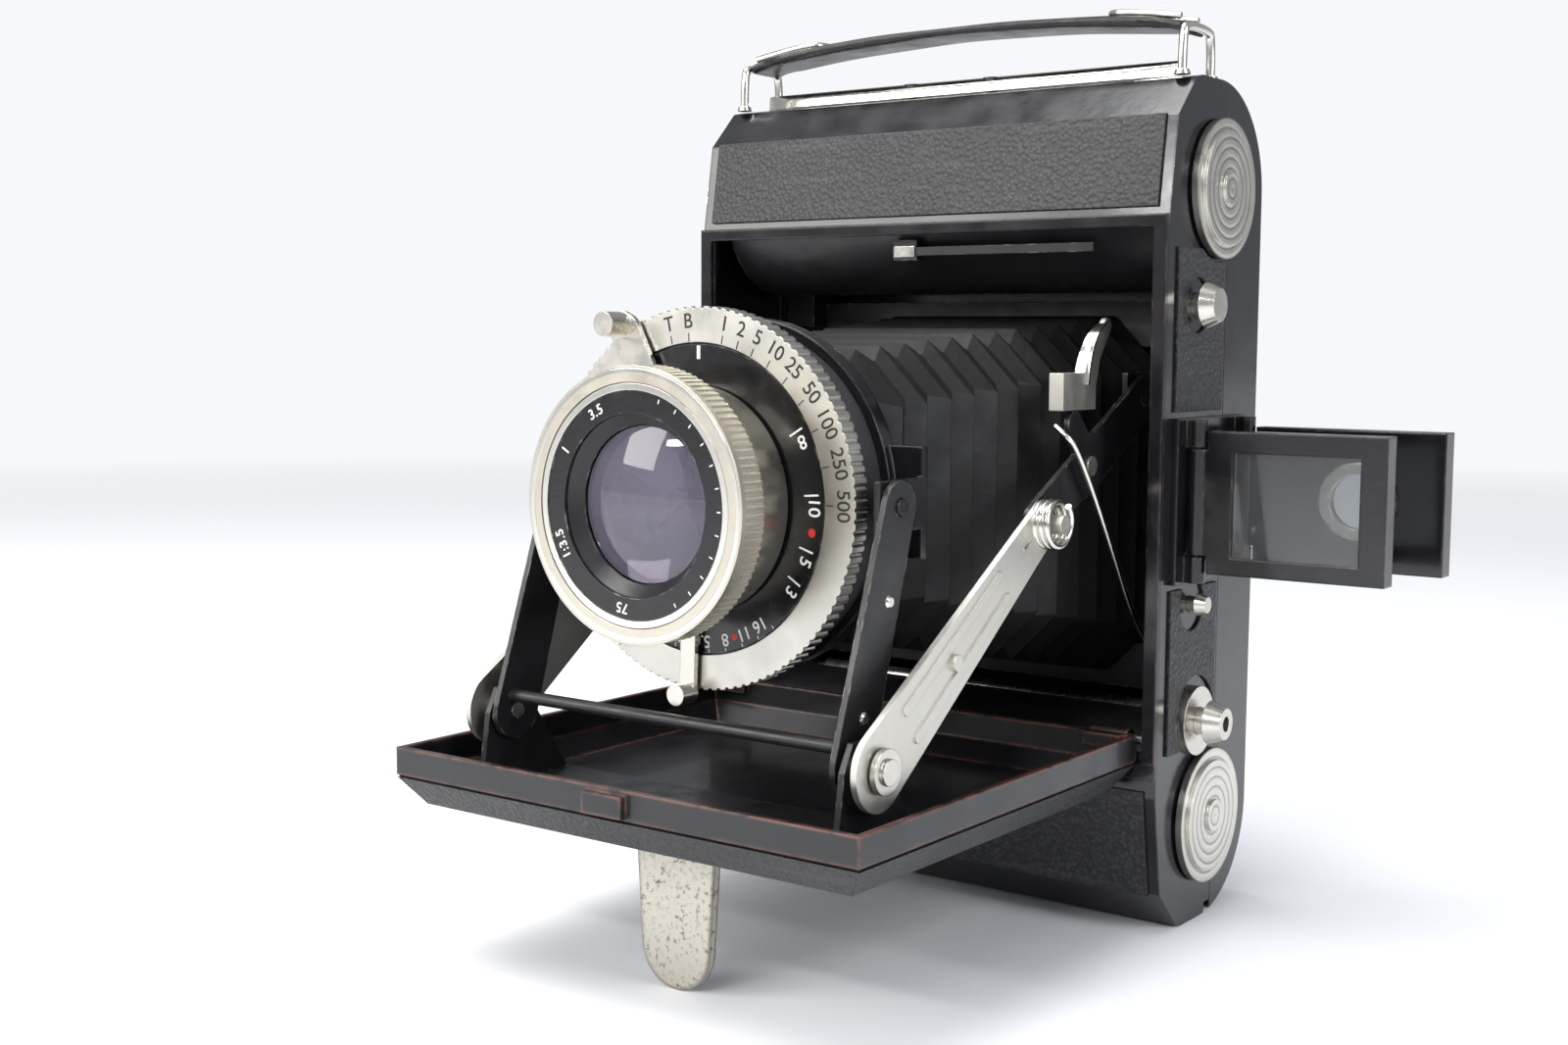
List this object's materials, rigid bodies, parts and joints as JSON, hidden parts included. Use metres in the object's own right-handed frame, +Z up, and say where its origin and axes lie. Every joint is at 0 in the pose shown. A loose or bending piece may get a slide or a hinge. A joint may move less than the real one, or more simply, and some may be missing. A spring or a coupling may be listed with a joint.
{
  "type": "folding camera",
  "caption": "Strut-folding roll-film camera with a drop bed, leather bellows, dial-set leaf shutter, side finder and hinged back, standing upright on its fold-out foot.",
  "frame": {"origin": "centre of the flat on the lower end of the body", "axes": "+X across the body to the finder side, +Y from the lens to the back, +Z up"},
  "size_m": [0.1077, 0.0938, 0.121],
  "materials": {
    "black_enamel": "glossy black enamel, worn at the edges",
    "leatherette": "pebbled dark grey-black covering",
    "bellows_leather": "matte black folded leather",
    "strap_leather": "smooth glossy black strap leather",
    "nickel": "warm nickel plate with fine turning lines",
    "worn_nickel": "nickel plate with dark spots",
    "steel": "plain steel",
    "black_lacquer": "satin black lacquer",
    "crinkle_black": "fine crinkle black paint",
    "lens_glass": "coated lens glass",
    "clear_glass": "clear finder glass",
    "red_window": "deep red film window",
    "spool_black": "black painted spool"
  },
  "bodies": {
    "body": {"body_shell": "black_enamel", "front_frame": "black_enamel", "leather_front": "leatherette", "leather_sides": "leatherette", "film_gate_frame": "black_lacquer", "hinge_pins": "steel", "carry_strap": "strap_leather", "strap_fittings": "nickel", "finder_base": "black_enamel", "release_collar": "nickel", "tripod_bush": "nickel", "spool_pin_left_low": "nickel", "erecting_springs": "steel", "bellows": "bellows_leather"},
    "back": {"back_cover": "black_enamel", "leather_back": "leatherette", "red_windows": "red_window", "pressure_plate": "black_lacquer"},
    "latch": {"back_latch_bar": "nickel"},
    "winder": {"take_up_spool": "spool_black", "winding_knob": "nickel"},
    "roller_low": {"film_roller_low": "nickel"},
    "roller_top": {"film_roller_top": "nickel"},
    "pin_top": {"spool_pin_right_top": "nickel"},
    "pin_low": {"spool_pin_right_low": "nickel"},
    "bed_panel": {"bed": "black_enamel", "bed_leather": "leatherette", "bed_bracket": "black_lacquer", "main_rivets": "nickel", "foot_hinge": "nickel"},
    "foot": {"bed_foot": "worn_nickel"},
    "legs": {"standard_legs": "black_lacquer"},
    "standard": {"lens_board": "black_enamel", "shutter_case": "crinkle_black", "shutter_face": "black_lacquer", "lens_barrel": "black_lacquer", "rear_lens": "lens_glass", "retaining_nut": "black_lacquer"},
    "focus": {"focus_ring": "nickel", "front_lens_cell": "black_lacquer", "front_lens": "lens_glass"},
    "speeds": {"speed_ring": "nickel"},
    "cocking": {"cocking_lever": "nickel"},
    "release": {"release_lever": "nickel"},
    "aperture": {"aperture_lever": "nickel"},
    "struts": {"lower_struts": "nickel", "strut_rivets": "nickel", "knee_springs": "steel"},
    "links": {"upper_links": "black_lacquer", "press_tabs": "nickel"},
    "finder_front": {"finder_front_frame": "black_enamel", "finder_front_lens": "clear_glass"},
    "finder_rear": {"finder_rear_frame": "black_enamel", "finder_eyepiece_ring": "nickel", "finder_eyepiece_lens": "clear_glass"},
    "bed_button": {"bed_release_button": "nickel"},
    "catch": {"bed_catch": "steel"},
    "finder_button": {"finder_catch_button": "nickel"},
    "shutter_button": {"body_release_button": "nickel"}
  },
  "joints": [
    {"name": "bed_hinge", "type": "hinge", "parent": "body", "child": "bed_panel", "pos_m": [0, -0.0102, 0.0262], "axis": [-1, 0, 0], "range_deg": [0, 90], "deforming": ["bellows", "erecting_springs"]},
    {"name": "strut_hinge", "type": "hinge", "parent": "bed_panel", "child": "struts", "pos_m": [0, -0.063, 0.031], "axis": [-1, 0, 0], "range_deg": [0, 15.93]},
    {"name": "link_hinge", "type": "hinge", "parent": "body", "child": "links", "pos_m": [0, 0.002, 0.07], "axis": [1, 0, 0], "range_deg": [0, 74.16]},
    {"name": "leg_hinge", "type": "hinge", "parent": "bed_panel", "child": "legs", "pos_m": [0, -0.063, 0.031], "axis": [-1, 0, 0], "range_deg": [0, 58.5]},
    {"name": "standard_hinge", "type": "hinge", "parent": "legs", "child": "standard", "pos_m": [0, -0.054, 0.059], "axis": [-1, 0, 0], "range_deg": [-148.5, 0]},
    {"name": "foot_hinge", "type": "hinge", "parent": "bed_panel", "child": "foot", "pos_m": [0, -0.0617, 0.0186], "axis": [1, 0, 0], "range_deg": [0, 88]},
    {"name": "focus_turn", "type": "hinge", "parent": "standard", "child": "focus", "pos_m": [0, -0.068, 0.0587], "axis": [0, 1, 0], "range_deg": [-20, 240]},
    {"name": "speed_turn", "type": "hinge", "parent": "standard", "child": "speeds", "pos_m": [0, -0.057, 0.0587], "axis": [0, 1, 0], "range_deg": [-100, 80]},
    {"name": "cocking_turn", "type": "hinge", "parent": "standard", "child": "cocking", "pos_m": [0, -0.059, 0.0587], "axis": [0, 1, 0], "range_deg": [0, 30]},
    {"name": "release_turn", "type": "hinge", "parent": "standard", "child": "release", "pos_m": [0, -0.059, 0.0587], "axis": [0, 1, 0], "range_deg": [0, 10], "stiffness_Nm_per_rad": 0.02, "springref_deg": -5.73},
    {"name": "aperture_turn", "type": "hinge", "parent": "standard", "child": "aperture", "pos_m": [0, -0.059, 0.0587], "axis": [0, 1, 0], "range_deg": [-10, 22]},
    {"name": "back_hinge", "type": "hinge", "parent": "body", "child": "back", "pos_m": [0, 0.0066, 0.0015], "axis": [-1, 0, 0], "range_deg": [0, 100]},
    {"name": "latch_slide", "type": "slide", "parent": "body", "child": "latch", "axis": [1, 0, 0], "range_m": [0, 0.003]},
    {"name": "winding_turn", "type": "hinge", "parent": "body", "child": "winder", "pos_m": [0, 0.0037, 0.0975], "axis": [1, 0, 0], "continuous": true},
    {"name": "roller_low_turn", "type": "hinge", "parent": "body", "child": "roller_low", "pos_m": [0, 0.011, 0.0258], "axis": [1, 0, 0], "continuous": true},
    {"name": "roller_top_turn", "type": "hinge", "parent": "body", "child": "roller_top", "pos_m": [0, 0.011, 0.0858], "axis": [1, 0, 0], "continuous": true},
    {"name": "pin_top_pull", "type": "slide", "parent": "body", "child": "pin_top", "axis": [1, 0, 0], "range_m": [0, 0.004], "stiffness_N_per_m": 200, "springref_m": -0.001},
    {"name": "pin_low_pull", "type": "slide", "parent": "body", "child": "pin_low", "axis": [1, 0, 0], "range_m": [0, 0.004], "stiffness_N_per_m": 200, "springref_m": -0.001},
    {"name": "finder_front_fold", "type": "hinge", "parent": "body", "child": "finder_front", "pos_m": [0.0396, -0.0051, 0.057], "axis": [0, 0, 1], "range_deg": [0, 15]},
    {"name": "finder_rear_fold", "type": "hinge", "parent": "body", "child": "finder_rear", "pos_m": [0.0396, 0.01, 0.057], "axis": [0, 0, -1], "range_deg": [0, 12]},
    {"name": "bed_button_push", "type": "slide", "parent": "body", "child": "bed_button", "axis": [-1, 0, 0], "range_m": [0, 0.0012], "stiffness_N_per_m": 400, "springref_m": -0.0006},
    {"name": "catch_slide", "type": "slide", "parent": "body", "child": "catch", "axis": [-1, 0, 0], "range_m": [0, 0.0012]},
    {"name": "finder_button_push", "type": "slide", "parent": "body", "child": "finder_button", "axis": [-1, 0, 0], "range_m": [0, 0.0008], "stiffness_N_per_m": 400, "springref_m": -0.0006},
    {"name": "shutter_button_push", "type": "slide", "parent": "body", "child": "shutter_button", "axis": [-1, 0, 0], "range_m": [0, 0.0015], "stiffness_N_per_m": 400, "springref_m": -0.0006}
  ],
  "couplings": [
    {"joint": "strut_hinge", "follows": "bed_hinge", "ratio": 0.177},
    {"joint": "link_hinge", "follows": "bed_hinge", "ratio": 0.824},
    {"joint": "leg_hinge", "follows": "bed_hinge", "ratio": 0.65},
    {"joint": "standard_hinge", "follows": "bed_hinge", "ratio": -1.65},
    {"joint": "finder_rear_fold", "follows": "finder_front_fold", "ratio": 0.8},
    {"joint": "catch_slide", "follows": "bed_button_push", "ratio": 1}
  ]
}
